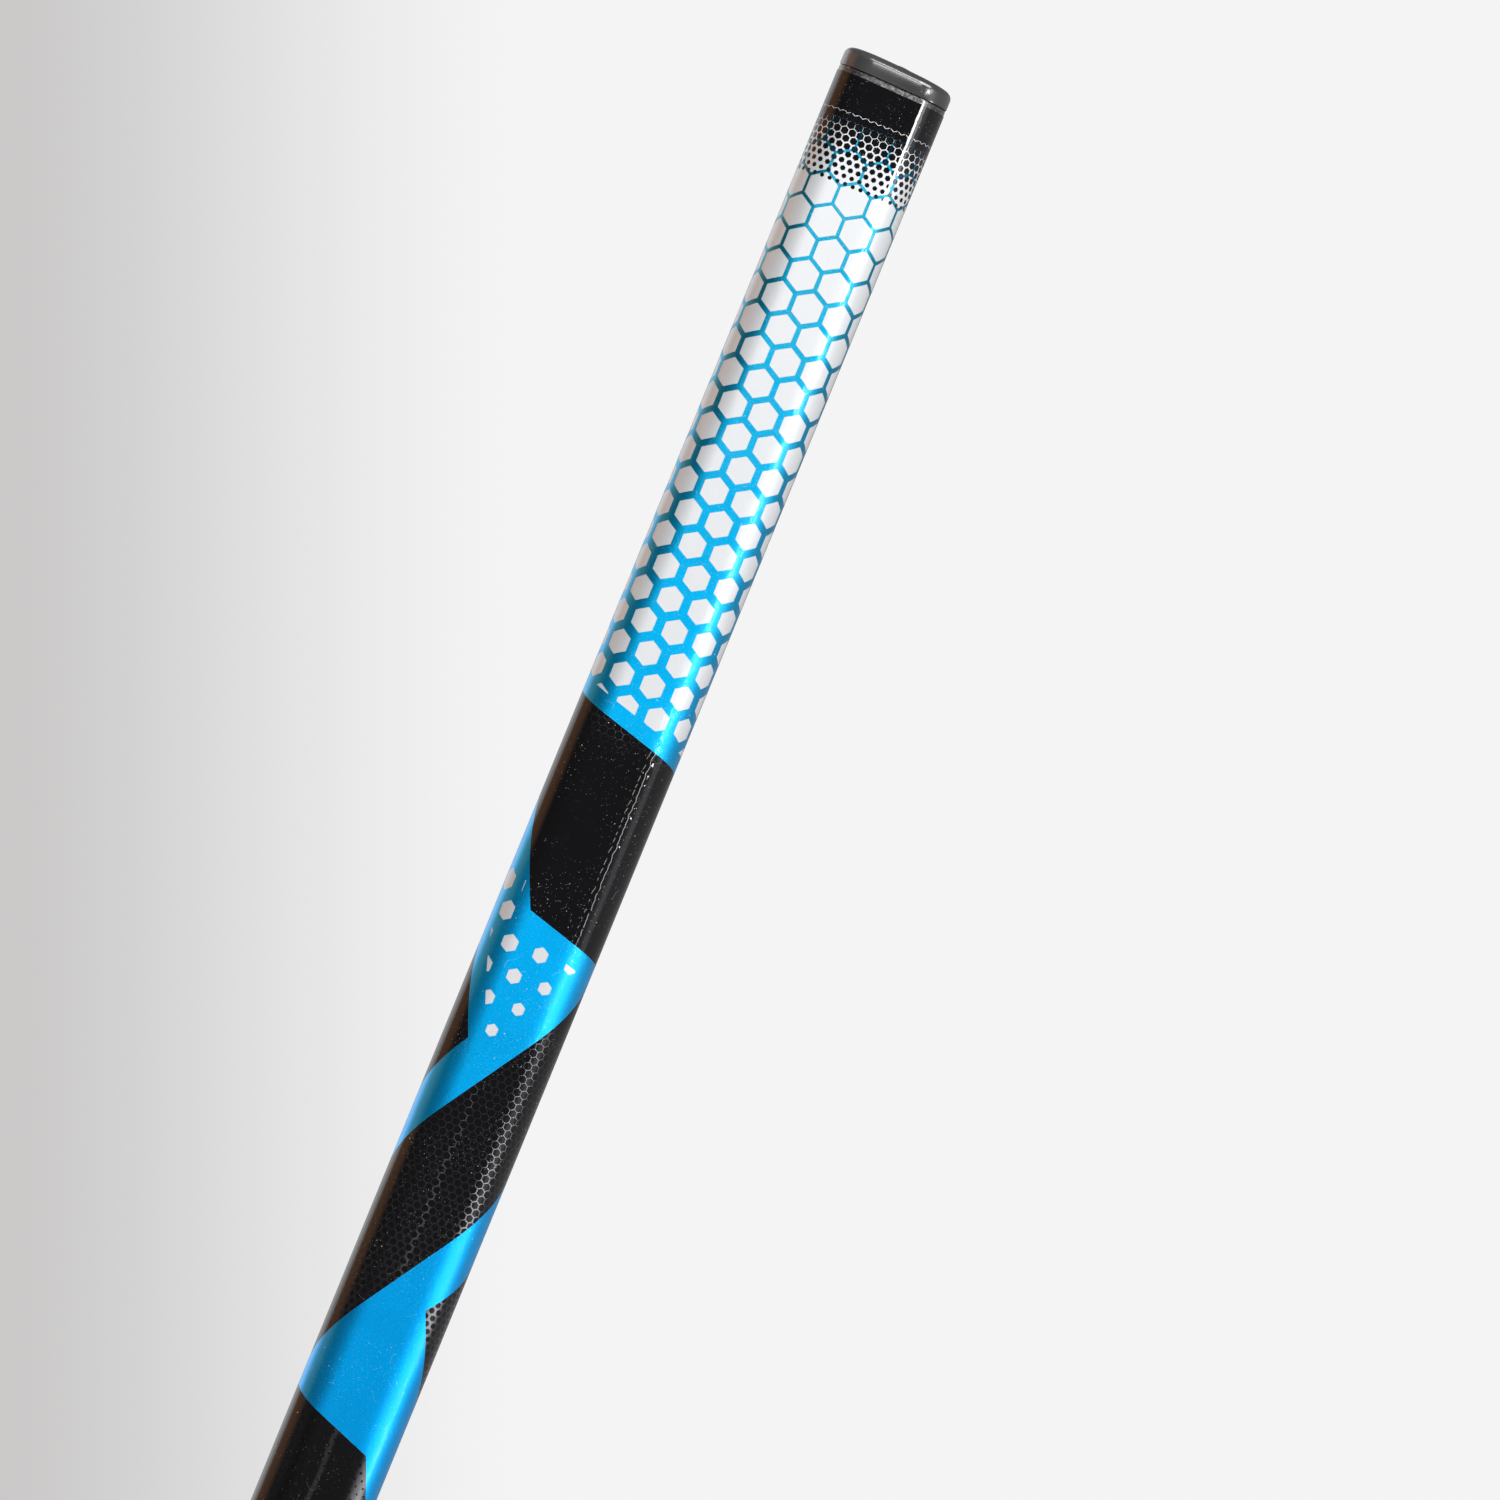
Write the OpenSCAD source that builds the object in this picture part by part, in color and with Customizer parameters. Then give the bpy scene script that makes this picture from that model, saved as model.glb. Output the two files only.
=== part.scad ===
// Curling broom: a flat-sided composite handle with a printed skin and a
// moulded butt cap, on a ferrule that pivots in the clevis of a padded head.
// +Z is up, the sole of the pad lies on z = 0, and the head's long axis and
// the pivot lie along X. All sizes are in millimetres.

/* [Handle] */
// Height of the broom from the sole to the top of the butt cap
overall_h = 1220; // [1100:10:1320]
// Width of the handle across its flat front face
shaft_w = 29; // [27:0.5:32]
// Depth of the handle from front to back
shaft_d = 20; // [19:0.5:24]
// Radius of the handle's four long edges
shaft_r = 9; // [6:0.5:9]
// Wall thickness of the composite tube
wall_t = 1.5; // [1.2:0.1:2]
// Thickness of the printed skin around the tube
skin_t = 0.15; // [0.1:0.05:0.3]
// Bare tube left at each end of the printed skin
bare_rim = 1.2; // [0.5:0.1:2]

/* [Butt cap] */
// Height of the cap that shows above the tube
cap_h = 5.5; // [4:0.5:8]
// Radius of the cap's rounded top edge
cap_edge_r = 2; // [1:0.25:2.5]
// Depth of the cap's stem inside the tube
cap_stem_h = 24; // [15:1:40]
// Diameter of the moulding gate mark on the cap
cap_gate_d = 3.6; // [2:0.2:6]

/* [Ferrule] */
// Depth of the ferrule's plug inside the tube
plug_h = 62; // [40:2:90]
// Height of the ferrule's collar below the tube
collar_h = 12; // [8:1:20]
// How far the collar stands out from the tube
collar_lip = 1.4; // [0.5:0.1:2.5]
// Thickness of the tongue between the clevis lugs
tongue_t = 18; // [14:1:18]
// Distance from the pivot to the foot of the collar
collar_rise = 27; // [25:1:35]
// Height of the two handle screws above the foot of the tube
handle_screw_rise = 24; // [16:1:40]

/* [Pivot] */
// Height of the pivot axis above the sole
pivot_z = 46; // [44:1:52]
// Radius of the clevis lugs and of the tongue round the pivot
knuckle_r = 11; // [10:0.5:12]
// Diameter of the pivot sleeve that the bushings turn on
sleeve_d = 8; // [7.5:0.25:8.5]
// Radial running clearance between the sleeve and each bushing
running_gap = 0.03; // [0.02:0.01:0.06]
// Outside diameter of the bushings
bushing_d = 11; // [10:0.5:12]
// Diameter of the pivot bolt
bolt_d = 6; // [5:0.5:6]
// Thickness of each clevis lug
lug_t = 8; // [6:0.5:9]

/* [Head] */
// Length of the padded head
pad_l = 200; // [180:5:230]
// Depth of the padded head from front to back
pad_w = 66; // [60:2:80]
// Thickness of the dense foam
foam_t = 10; // [8:1:14]
// Thickness of the pad's backing plate
plate_t = 5; // [4:0.5:6]
// Thickness of the fabric cover
cover_t = 1; // [0.6:0.1:1.5]
// Width of the hem that folds over the plate
hem_w = 9; // [7:1:12]
// Thickness of the head shell's base
shell_t = 4; // [3:0.5:5]

/* [Hidden] */
$fn = 64;
eps = 0.01;

// Levels of the handle, from the pivot upwards
gasket_t = 0.8;
collar_z = pivot_z + collar_rise;
gasket_z = collar_z + collar_h;
tube_z = gasket_z + gasket_t;
tube_top_z = overall_h - cap_h;
handle_screw_z = tube_z + handle_screw_rise;
tube_w = shaft_w - 2 * skin_t;
tube_d = shaft_d - 2 * skin_t;
tube_r = shaft_r - skin_t;
glue_gap = 0.1;
plug_w = tube_w - 2 * (wall_t + glue_gap);
plug_d = tube_d - 2 * (wall_t + glue_gap);
plug_r = tube_r - wall_t - glue_gap;
screw_head_r = 3.4;
screw_shank_r = 1.7;
screw_head_h = 1.5;
screw_l = 8.4;

// Stack of the pivot along X, from the tongue outwards
bushing_flange_t = 1;
bushing_flange_r = 7.6;
bushing_gap = 1;
face_gap = 0.1;
friction_t = 0.8;
friction_r = 8.2;
bolt_gap = 0.1;
flange_x = tongue_t / 2 + bushing_flange_t;
lug_in_x = flange_x + face_gap + friction_t;
lug_out_x = lug_in_x + lug_t;
washer_t = 1.2;
washer_r = 6.2;
seat_x = lug_out_x + washer_t;
bolt_head_h = 3.3;
bolt_head_r = 5.3;
nut_h = 4.6;
nut_r = 5.8;
lock_h = 1.6;
lock_r = 4.5;
bolt_tip = 1.2;

// Levels of the head, from the sole upwards
foam_z = cover_t;
plate_z = foam_z + foam_t;
hem_z = plate_z + plate_t;
seal_z = hem_z + cover_t;
seal_t = 0.6;
shell_z = seal_z + seal_t;
shell_top_z = shell_z + shell_t;
pad_corner_r = 15;
shell_inset = 5;
shell_l = pad_l - 2 * shell_inset;
shell_w = pad_w - 2 * shell_inset;
shell_corner_r = pad_corner_r - shell_inset;
fit_gap = 0.1;

// Central hub of the shell that carries the clevis
hub_h = 6;
hub_foot = [84, 48];
hub_top = [52, 34];
lug_foot_w = 40;

// Long ribs of the shell
rib_y = 9.5;
rib_t = 3.2;
rib_in_h = 12;
rib_out_h = 1.6;
rib_end = 7;
cross_x = [40, 72];

// Screws that hold the pad: four near the corners and two on the long axis
boss_r = 5.6;
boss_h = 2.4;
pad_screw_r = 2;
pad_head_r = 3.8;
pad_head_h = 2.3;
insert_r = 2.9;
insert_h = 6;
corner_screw = [shell_l / 2 - 13, shell_w / 2 - 9];
axis_screw_x = 56;
screw_spots = concat(
    [for (i = [-1, 1], j = [-1, 1]) [i * corner_screw[0], j * corner_screw[1]]],
    [for (i = [-1, 1]) [i * axis_screw_x, 0]]);
plate_boss_r = 5.4;
plate_boss_drop = 2;
screw_top_z = shell_top_z + boss_h;

// Rectangle with round corners, centred, with true arcs
module round_rect(w, d, r) {
    square([w - 2 * r, d], center = true);
    square([w, d - 2 * r], center = true);
    for (i = [-1, 1], j = [-1, 1])
        translate([i * (w / 2 - r), j * (d / 2 - r)]) circle(r = r);
}

// Upright bar of that section
module bar(w, d, r, h) {
    linear_extrude(height = h) round_rect(w, d, r);
}

// Cylinder along X that starts at x
module rod_x(x, r, l) {
    translate([x, 0, pivot_z]) rotate([0, 90, 0]) cylinder(r = r, h = l);
}

// Children on the left and on the right of the pivot
module both_sides() {
    children();
    mirror([1, 0, 0]) children();
}

module at_screw_spots() {
    for (spot = screw_spots) translate([spot[0], spot[1], 0]) children();
}

// Countersunk screw along +Z whose head is flush with z = 0
module countersunk(head_r, shank_r, head_h, l) {
    translate([0, 0, -head_h]) cylinder(r1 = shank_r, r2 = head_r, h = head_h);
    translate([0, 0, -l]) cylinder(r = shank_r, h = l - head_h + eps);
}

// Front and back places of the handle screws, flush with the tube
module at_handle_screws() {
    for (turn = [0, 180])
        rotate([0, 0, turn])
            translate([0, -tube_d / 2, handle_screw_z]) rotate([90, 0, 0]) children();
}

module shaft_tube() {
    color("#2a2b2e") difference() {
        translate([0, 0, tube_z]) bar(tube_w, tube_d, tube_r, tube_top_z - tube_z);
        translate([0, 0, tube_z - 1])
            bar(tube_w - 2 * wall_t, tube_d - 2 * wall_t, tube_r - wall_t,
                tube_top_z - tube_z + 2);
        at_handle_screws()
            countersunk(screw_head_r, screw_shank_r, screw_head_h, wall_t + 2);
    }
}

module printed_skin() {
    color("#1393dc") difference() {
        translate([0, 0, tube_z + bare_rim])
            bar(shaft_w, shaft_d, shaft_r, tube_top_z - tube_z - 2 * bare_rim);
        translate([0, 0, tube_z])
            bar(tube_w, tube_d, tube_r, tube_top_z - tube_z);
        at_handle_screws() translate([0, 0, -1]) cylinder(r = screw_head_r + 0.3, h = 3);
    }
}

// Puck with a rounded top edge; four of them make the cap's flange
module cap_corner() {
    rotate_extrude($fn = 48) {
        square([shaft_r - cap_edge_r, cap_h]);
        square([shaft_r, cap_h - cap_edge_r]);
        translate([shaft_r - cap_edge_r, cap_h - cap_edge_r])
            circle(r = cap_edge_r, $fn = 32);
    }
}

module butt_cap() {
    stem_wall = 2.2;
    rib_n = 3;
    color("#222326") {
        translate([0, 0, tube_top_z]) hull()
            for (i = [-1, 1], j = [-1, 1])
                translate([i * (shaft_w / 2 - shaft_r), j * (shaft_d / 2 - shaft_r), 0])
                    cap_corner();
        translate([0, 0, overall_h - eps])
            cylinder(d = cap_gate_d, h = 0.3 + eps);
        difference() {
            translate([0, 0, tube_top_z - cap_stem_h]) {
                bar(plug_w - 0.8, plug_d - 0.8, plug_r - 0.4, cap_stem_h + 1);
                for (k = [1:rib_n])
                    translate([0, 0, k * cap_stem_h / (rib_n + 1)])
                        bar(plug_w, plug_d, plug_r, 1.5);
            }
            translate([0, 0, tube_top_z - cap_stem_h - 1])
                bar(plug_w - 2 * stem_wall, plug_d - 2 * stem_wall, plug_r - stem_wall,
                    cap_stem_h + 1);
        }
    }
}

module ferrule() {
    groove_h = 1.6;
    groove_t = 0.7;
    core_w = 10;
    core_d = 5;
    shoulder_rise = 14;
    shoulder_z = pivot_z + shoulder_rise;
    color("#1b1c1f") difference() {
        union() {
            translate([0, 0, gasket_z - eps]) bar(plug_w, plug_d, plug_r, plug_h + gasket_t);
            translate([0, 0, collar_z])
                bar(shaft_w + 2 * collar_lip, shaft_d + 2 * collar_lip,
                    shaft_r + collar_lip, collar_h);
            hull() {
                translate([0, 0, collar_z])
                    bar(shaft_w + 2 * collar_lip, shaft_d + 2 * collar_lip,
                        shaft_r + collar_lip, eps, $fn = 32);
                translate([0, 0, shoulder_z])
                    bar(tongue_t, 2 * knuckle_r, 4, eps, $fn = 32);
            }
            translate([-tongue_t / 2, -knuckle_r, pivot_z])
                cube([tongue_t, 2 * knuckle_r, shoulder_rise + 1]);
            rod_x(-tongue_t / 2, knuckle_r, tongue_t);
        }
        rod_x(-tongue_t, bushing_d / 2, 2 * tongue_t);
        // Hollow core that keeps the moulding's walls even
        translate([0, 0, tube_z + 4]) bar(core_w, core_d, 2, plug_h);
        // Grooves that hold the adhesive
        for (k = [0:2])
            translate([0, 0, handle_screw_z + 12 + 8 * k]) difference() {
                bar(shaft_w, shaft_d, shaft_r, groove_h);
                bar(plug_w - 2 * groove_t, plug_d - 2 * groove_t,
                    plug_r - groove_t, 3 * groove_h);
            }
        at_handle_screws() cylinder(r = screw_shank_r, h = 2 * screw_l, center = true);
    }
}

module ferrule_gasket() {
    color("#15161a") difference() {
        translate([0, 0, gasket_z])
            bar(shaft_w - 0.4, shaft_d - 0.4, shaft_r - 0.2, gasket_t);
        translate([0, 0, gasket_z - 1]) bar(plug_w, plug_d, plug_r, gasket_t + 2);
    }
}

module handle_screws() {
    color("silver") at_handle_screws() difference() {
        countersunk(screw_head_r, screw_shank_r, screw_head_h, screw_l);
        translate([0, 0, -1.2]) cylinder(r = 1.25, h = 2, $fn = 6);
    }
}

// Flanged bushing on the +X side of the tongue
module bushing() {
    difference() {
        union() {
            rod_x(bushing_gap / 2, bushing_d / 2, tongue_t / 2 - bushing_gap / 2 + eps);
            rod_x(tongue_t / 2, bushing_flange_r, bushing_flange_t);
        }
        rod_x(-1, sleeve_d / 2 + running_gap, tongue_t);
    }
}

module bushing_left() {
    color("ivory") mirror([1, 0, 0]) bushing();
}

module bushing_right() {
    color("ivory") bushing();
}

module pivot_sleeve() {
    color("lightgrey") difference() {
        rod_x(-lug_in_x, sleeve_d / 2, 2 * lug_in_x);
        rod_x(-lug_in_x - 1, bolt_d / 2 + bolt_gap, 2 * lug_in_x + 2);
    }
}

module friction_washers() {
    color("dimgrey") both_sides() difference() {
        rod_x(flange_x + face_gap, friction_r, friction_t);
        rod_x(flange_x, sleeve_d / 2 + bolt_gap, friction_t + 1);
    }
}

module pivot_bolt() {
    dome_r = 6.4;
    socket_r = 2.3;
    socket_h = 2.2;
    color("silver") difference() {
        union() {
            rod_x(-seat_x - eps, bolt_d / 2, 2 * seat_x + nut_h + lock_h + bolt_tip + eps);
            intersection() {
                rod_x(-seat_x - bolt_head_h, bolt_head_r, bolt_head_h);
                translate([dome_r - seat_x - bolt_head_h, 0, pivot_z]) sphere(r = dome_r);
            }
        }
        translate([-seat_x - bolt_head_h - 1, 0, pivot_z]) rotate([0, 90, 0])
            cylinder(r = socket_r, h = socket_h + 1, $fn = 6);
    }
}

module bolt_washers() {
    color("silver") both_sides() difference() {
        rod_x(lug_out_x, washer_r, washer_t);
        rod_x(lug_out_x - 1, bolt_d / 2 + bolt_gap, washer_t + 2);
    }
}

module pivot_nut() {
    lock_wall = 1;
    color("silver") difference() {
        union() {
            translate([seat_x, 0, pivot_z]) rotate([0, 90, 0])
                cylinder(r = nut_r, h = nut_h, $fn = 6);
            rod_x(seat_x + nut_h - eps, lock_r, lock_h + eps);
        }
        rod_x(seat_x - 1, bolt_d / 2, nut_h + lock_h + 2);
        rod_x(seat_x + nut_h, lock_r - lock_wall, lock_h + 1);
    }
}

module locknut_ring() {
    lock_wall = 1;
    color("#2f6fd0") difference() {
        rod_x(seat_x + nut_h, lock_r - lock_wall, lock_h - 0.3);
        rod_x(seat_x + nut_h - 1, bolt_d / 2, lock_h + 2);
    }
}

// One ear of the clevis, seen along X and extruded towards +X
module lug() {
    foot_half = lug_foot_w / 2;
    foot_drop = pivot_z - shell_top_z - hub_h / 2;
    translate([lug_in_x, 0, pivot_z]) rotate([90, 0, 90]) linear_extrude(height = lug_t) {
        circle(r = knuckle_r);
        polygon([[-foot_half, -foot_drop], [foot_half, -foot_drop],
                 [knuckle_r * 0.97, 0], [-knuckle_r * 0.97, 0]]);
    }
}

// Pair of long ribs that run from the clevis to the +X end of the shell
module long_ribs() {
    x_in = lug_out_x - 1;
    x_out = shell_l / 2 - rib_end;
    for (j = [-1, 1])
        translate([0, j * rib_y + rib_t / 2, 0]) rotate([90, 0, 0])
            linear_extrude(height = rib_t)
                polygon([[x_in, shell_z + 1], [x_out, shell_z + 1],
                         [x_out, shell_top_z + rib_out_h],
                         [x_in + 16, shell_top_z + rib_in_h],
                         [x_in, shell_top_z + rib_in_h + 1.5]]);
}

// Low ribs across the shell, which the long ribs meet
module cross_ribs() {
    for (x = cross_x)
        translate([x - rib_t / 2, -shell_w / 2 + 4, shell_z + 1])
            cube([rib_t, shell_w - 8, shell_t + 1]);
}

module head_shell() {
    color("#1d1e21") difference() {
        union() {
            translate([0, 0, shell_z]) bar(shell_l, shell_w, shell_corner_r, shell_t);
            hull() {
                translate([0, 0, shell_top_z - 1])
                    bar(hub_foot[0], hub_foot[1], 12, eps, $fn = 32);
                translate([0, 0, shell_top_z + hub_h])
                    bar(hub_top[0], hub_top[1], 9, eps, $fn = 32);
            }
            both_sides() {
                lug();
                long_ribs();
                cross_ribs();
            }
            at_screw_spots() translate([0, 0, shell_z + 1])
                cylinder(r = boss_r, h = shell_t + boss_h - 1);
        }
        rod_x(-lug_out_x - 1, bolt_d / 2 + bolt_gap, 2 * lug_out_x + 2);
        at_screw_spots() translate([0, 0, shell_z - 1])
            cylinder(r = pad_screw_r + 0.2, h = shell_t + boss_h + 2);
    }
}

module shell_gasket() {
    color("#101114") difference() {
        translate([0, 0, seal_z])
            bar(shell_l - 2, shell_w - 2, shell_corner_r - 1, seal_t);
        at_screw_spots() translate([0, 0, seal_z - 1])
            cylinder(r = insert_r + 0.4, h = seal_t + 2);
    }
}

module pad_screws() {
    screw_foot_z = hem_z - insert_h + 0.5;
    color("silver") at_screw_spots() difference() {
        union() {
            translate([0, 0, screw_foot_z])
                cylinder(r = pad_screw_r, h = screw_top_z - screw_foot_z + eps);
            intersection() {
                translate([0, 0, screw_top_z]) cylinder(r = pad_head_r, h = pad_head_h);
                translate([0, 0, screw_top_z + pad_head_h - 4.6]) sphere(r = 4.6);
            }
        }
        translate([0, 0, screw_top_z + 0.8])
            cylinder(r = 1.4, h = pad_head_h, $fn = 6);
    }
}

module plate_inserts() {
    color("goldenrod") at_screw_spots() difference() {
        translate([0, 0, hem_z - insert_h]) cylinder(r = insert_r, h = insert_h);
        translate([0, 0, hem_z - insert_h - 1])
            cylinder(r = pad_screw_r, h = insert_h + 2);
    }
}

// Outline inside the cover, less a gap all round
module pad_core(h, gap) {
    inset = cover_t + gap;
    bar(pad_l - 2 * inset, pad_w - 2 * inset, pad_corner_r - inset, h);
}

// Field inside the hem where the plate rises to meet the shell's gasket
module hem_window(h, gap) {
    inset = hem_w + gap;
    bar(pad_l - 2 * inset, pad_w - 2 * inset, pad_corner_r - hem_w, h);
}

module pad_plate() {
    color("#3a3c40") difference() {
        union() {
            translate([0, 0, plate_z]) pad_core(plate_t, fit_gap);
            translate([0, 0, plate_z]) hem_window(plate_t + cover_t, 0.5);
            at_screw_spots() translate([0, 0, plate_z - plate_boss_drop])
                cylinder(r = plate_boss_r, h = plate_boss_drop + 1);
        }
        at_screw_spots() {
            translate([0, 0, hem_z - insert_h]) cylinder(r = insert_r, h = insert_h + 5);
            translate([0, 0, plate_z - plate_boss_drop / 2])
                cylinder(r = pad_screw_r, h = plate_t);
        }
    }
}

module pad_foam() {
    color("#8d9096") difference() {
        translate([0, 0, foam_z]) pad_core(foam_t, fit_gap);
        at_screw_spots() translate([0, 0, plate_z - plate_boss_drop - 0.3])
            cylinder(r = plate_boss_r + 0.3, h = plate_boss_drop + 1);
    }
}

module pad_cover() {
    color("#1a8fd6") difference() {
        bar(pad_l, pad_w, pad_corner_r, seal_z);
        translate([0, 0, foam_z]) pad_core(foam_t + plate_t, 0);
        translate([0, 0, plate_z]) hem_window(plate_t + cover_t + 1, 0);
    }
}

shaft_tube();
printed_skin();
butt_cap();
ferrule();
ferrule_gasket();
handle_screws();
bushing_left();
bushing_right();
pivot_sleeve();
friction_washers();
pivot_bolt();
bolt_washers();
pivot_nut();
locknut_ring();
head_shell();
shell_gasket();
pad_screws();
plate_inserts();
pad_plate();
pad_foam();
pad_cover();
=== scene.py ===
"""Looks of the curling broom: printed handle, moulded parts, fabric pad, studio and camera."""

import math

import bmesh
import bpy
from mathutils import Matrix, Vector, noise
from mathutils.bvhtree import BVHTree


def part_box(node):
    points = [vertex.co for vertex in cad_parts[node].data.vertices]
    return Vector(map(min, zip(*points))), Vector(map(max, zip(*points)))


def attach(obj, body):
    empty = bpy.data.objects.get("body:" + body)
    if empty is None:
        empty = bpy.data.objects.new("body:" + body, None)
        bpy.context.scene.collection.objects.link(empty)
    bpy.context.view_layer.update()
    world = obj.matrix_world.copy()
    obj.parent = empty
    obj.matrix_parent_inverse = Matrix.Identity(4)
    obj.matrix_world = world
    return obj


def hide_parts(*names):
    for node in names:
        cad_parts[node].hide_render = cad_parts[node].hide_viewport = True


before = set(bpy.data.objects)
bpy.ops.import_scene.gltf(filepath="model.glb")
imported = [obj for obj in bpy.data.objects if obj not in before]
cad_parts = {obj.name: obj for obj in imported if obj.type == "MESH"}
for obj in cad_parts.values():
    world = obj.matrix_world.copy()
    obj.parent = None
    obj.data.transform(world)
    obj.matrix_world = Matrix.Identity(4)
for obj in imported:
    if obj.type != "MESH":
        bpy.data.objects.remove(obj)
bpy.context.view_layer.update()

MM = 0.001
HANDLE, HEAD = "handle", "head"

# A length in metres that is too small to matter
NOTHING = 1e-6

# The CAD nodes' boxes, and the handle's flat-sided section
SKIN_LOW, SKIN_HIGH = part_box("printed_skin")
_, TUBE_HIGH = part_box("shaft_tube")
CAP_LOW, CAP_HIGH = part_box("butt_cap")
PAD_LOW, PAD_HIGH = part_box("pad_cover")
_, PLATE_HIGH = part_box("pad_plate")
SHAFT_W = SKIN_HIGH.x - SKIN_LOW.x
SHAFT_D = SKIN_HIGH.y - SKIN_LOW.y
SHAFT_R = 9 * MM
# The skin's thickness, the gap inside it, and the lengths and rows of faces that it is made in
SKIN_T = SKIN_HIGH.x - TUBE_HIGH.x
TUBE_GAP = 0.02 * MM
SKIN_LENGTHS, SKIN_ROWS = 4, 30
# The cap's top under its gate mark, and the foot of its flange, just above the tube's end
GATE_RISE = 0.3 * MM
TOP_Z = CAP_HIGH.z - GATE_RISE
CAP_FOOT = TUBE_HIGH.z + 0.3 * MM
# The tube's end is sawn slightly out of square, and the cap sits on it a little further askew
END_SLANT = 0.033
CAP_SLANT = 0.022
# The pad: its corners' radius, half of its straight sides, the cover's top and its binding
PAD_CORNER = 15 * MM
PAD_FLAT_X = (PAD_HIGH.x - PAD_LOW.x) / 2 - PAD_CORNER
PAD_FLAT_Y = (PAD_HIGH.y - PAD_LOW.y) / 2 - PAD_CORNER
CLOTH_TOP = PAD_HIGH.z - 0.15 * MM
CLOTH_FRAMES = 20
BINDING_LOW, BINDING_HIGH = 11.2 * MM, 15.2 * MM


# ---------------------------------------- node arithmetic

class Num:
    """A number that varies over a surface. Arithmetic on it adds Math nodes to its tree."""

    def __init__(self, tree, socket):
        self.tree = tree
        self.socket = socket

    def op(self, kind, *others, clamp=False):
        node = self.tree.nodes.new("ShaderNodeMath")
        node.operation = kind
        node.use_clamp = clamp
        for slot, value in zip(node.inputs, (self, *others)):
            plug(self.tree, value, slot)
        return Num(self.tree, node.outputs[0])

    def __add__(self, other):
        return self.op("ADD", other)

    __radd__ = __add__

    def __sub__(self, other):
        return self.op("SUBTRACT", other)

    def __rsub__(self, other):
        return -self + other

    def __mul__(self, other):
        return self.op("MULTIPLY", other)

    def __truediv__(self, other):
        return self.op("DIVIDE", other)

    def __neg__(self):
        return self.op("MULTIPLY", -1.0)

    def abs(self):
        return self.op("ABSOLUTE")

    def min(self, other):
        return self.op("MINIMUM", other)

    def max(self, other):
        return self.op("MAXIMUM", other)

    def wrap(self, low, high):
        return self.op("WRAP", high, low)

    def clamp(self):
        return self.op("ADD", 0.0, clamp=True)

    def inside(self, soft):
        """1 where the number is positive, 0 where it is negative, over a soft edge."""
        return (self / soft + 0.5).clamp()

    def ramp(self, low, high, out_low=0.0, out_high=1.0):
        """Smooth step from out_low to out_high as the number goes from low to high."""
        node = self.tree.nodes.new("ShaderNodeMapRange")
        node.interpolation_type = "SMOOTHSTEP"
        for name, value in (("Value", self), ("From Min", low), ("From Max", high),
                            ("To Min", out_low), ("To Max", out_high)):
            plug(self.tree, value, node.inputs[name])
        return Num(self.tree, node.outputs["Result"])


def plug(tree, value, slot):
    """Links a Num or a socket into slot, or sets slot to a plain value."""
    if isinstance(value, Num):
        value = value.socket
    if isinstance(value, bpy.types.NodeSocket):
        tree.links.new(value, slot)
    elif hasattr(slot.default_value, "__len__") and len(slot.default_value) == 4:
        slot.default_value = (*value[:3], 1.0)
    else:
        slot.default_value = value


# The colour sockets of a Mix node, by number because its sockets share their names
MIX_FIRST, MIX_SECOND, MIX_RESULT = 6, 7, 2


def mix(tree, share, first, second):
    """Colour that goes from first to second as share goes from 0 to 1."""
    node = tree.nodes.new("ShaderNodeMix")
    node.data_type = "RGBA"
    plug(tree, share, node.inputs["Factor"])
    plug(tree, first, node.inputs[MIX_FIRST])
    plug(tree, second, node.inputs[MIX_SECOND])
    return node.outputs[MIX_RESULT]


def scale_colour(tree, colour, gain):
    node = tree.nodes.new("ShaderNodeVectorMath")
    node.operation = "SCALE"
    if isinstance(colour, tuple):
        node.inputs[0].default_value = colour
    else:
        tree.links.new(colour, node.inputs[0])
    plug(tree, gain, node.inputs["Scale"])
    return node.outputs[0]


def vector(tree, x=0.0, y=0.0, z=0.0):
    node = tree.nodes.new("ShaderNodeCombineXYZ")
    for slot, value in zip(node.inputs, (x, y, z)):
        plug(tree, value, slot)
    return node.outputs[0]


def split(tree, socket):
    node = tree.nodes.new("ShaderNodeSeparateXYZ")
    tree.links.new(socket, node.inputs[0])
    return [Num(tree, out) for out in node.outputs]


def noise_num(tree, where, scale, detail=2.0, roughness=0.5):
    node = tree.nodes.new("ShaderNodeTexNoise")
    plug(tree, where, node.inputs["Vector"])
    node.inputs["Scale"].default_value = scale
    node.inputs["Detail"].default_value = detail
    node.inputs["Roughness"].default_value = roughness
    return Num(tree, node.outputs["Fac"])


def speckle(tree, where, scale, radius, share):
    """1 on round specks: share of the cells of a Voronoi pattern have one."""
    node = tree.nodes.new("ShaderNodeTexVoronoi")
    plug(tree, where, node.inputs["Vector"])
    node.inputs["Scale"].default_value = scale
    draw, growth, _ = split(tree, node.outputs["Color"])
    size = growth * radius * 0.7 + radius * 0.3
    dot = (size - Num(tree, node.outputs["Distance"])).inside(radius * 0.3)
    return dot * (share - draw).inside(0.001)


def bump(tree, height, distance):
    node = tree.nodes.new("ShaderNodeBump")
    node.inputs["Strength"].default_value = 1.0
    node.inputs["Distance"].default_value = distance
    plug(tree, height, node.inputs["Height"])
    return node.outputs[0]


def material(name):
    """New material with one Principled node: returns the material, its tree and that node."""
    made = bpy.data.materials.new(name)
    made.use_nodes = True
    return made, made.node_tree, made.node_tree.nodes["Principled BSDF"]


def object_coords(tree):
    return tree.nodes.new("ShaderNodeTexCoord").outputs["Object"]


def edge_wear(tree):
    """Near 1 on sharp outside edges and 0 elsewhere."""
    node = tree.nodes.new("ShaderNodeNewGeometry")
    return Num(tree, node.outputs["Pointiness"]).ramp(0.52, 0.58)


# ---------------------------------------- printed skin material

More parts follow.
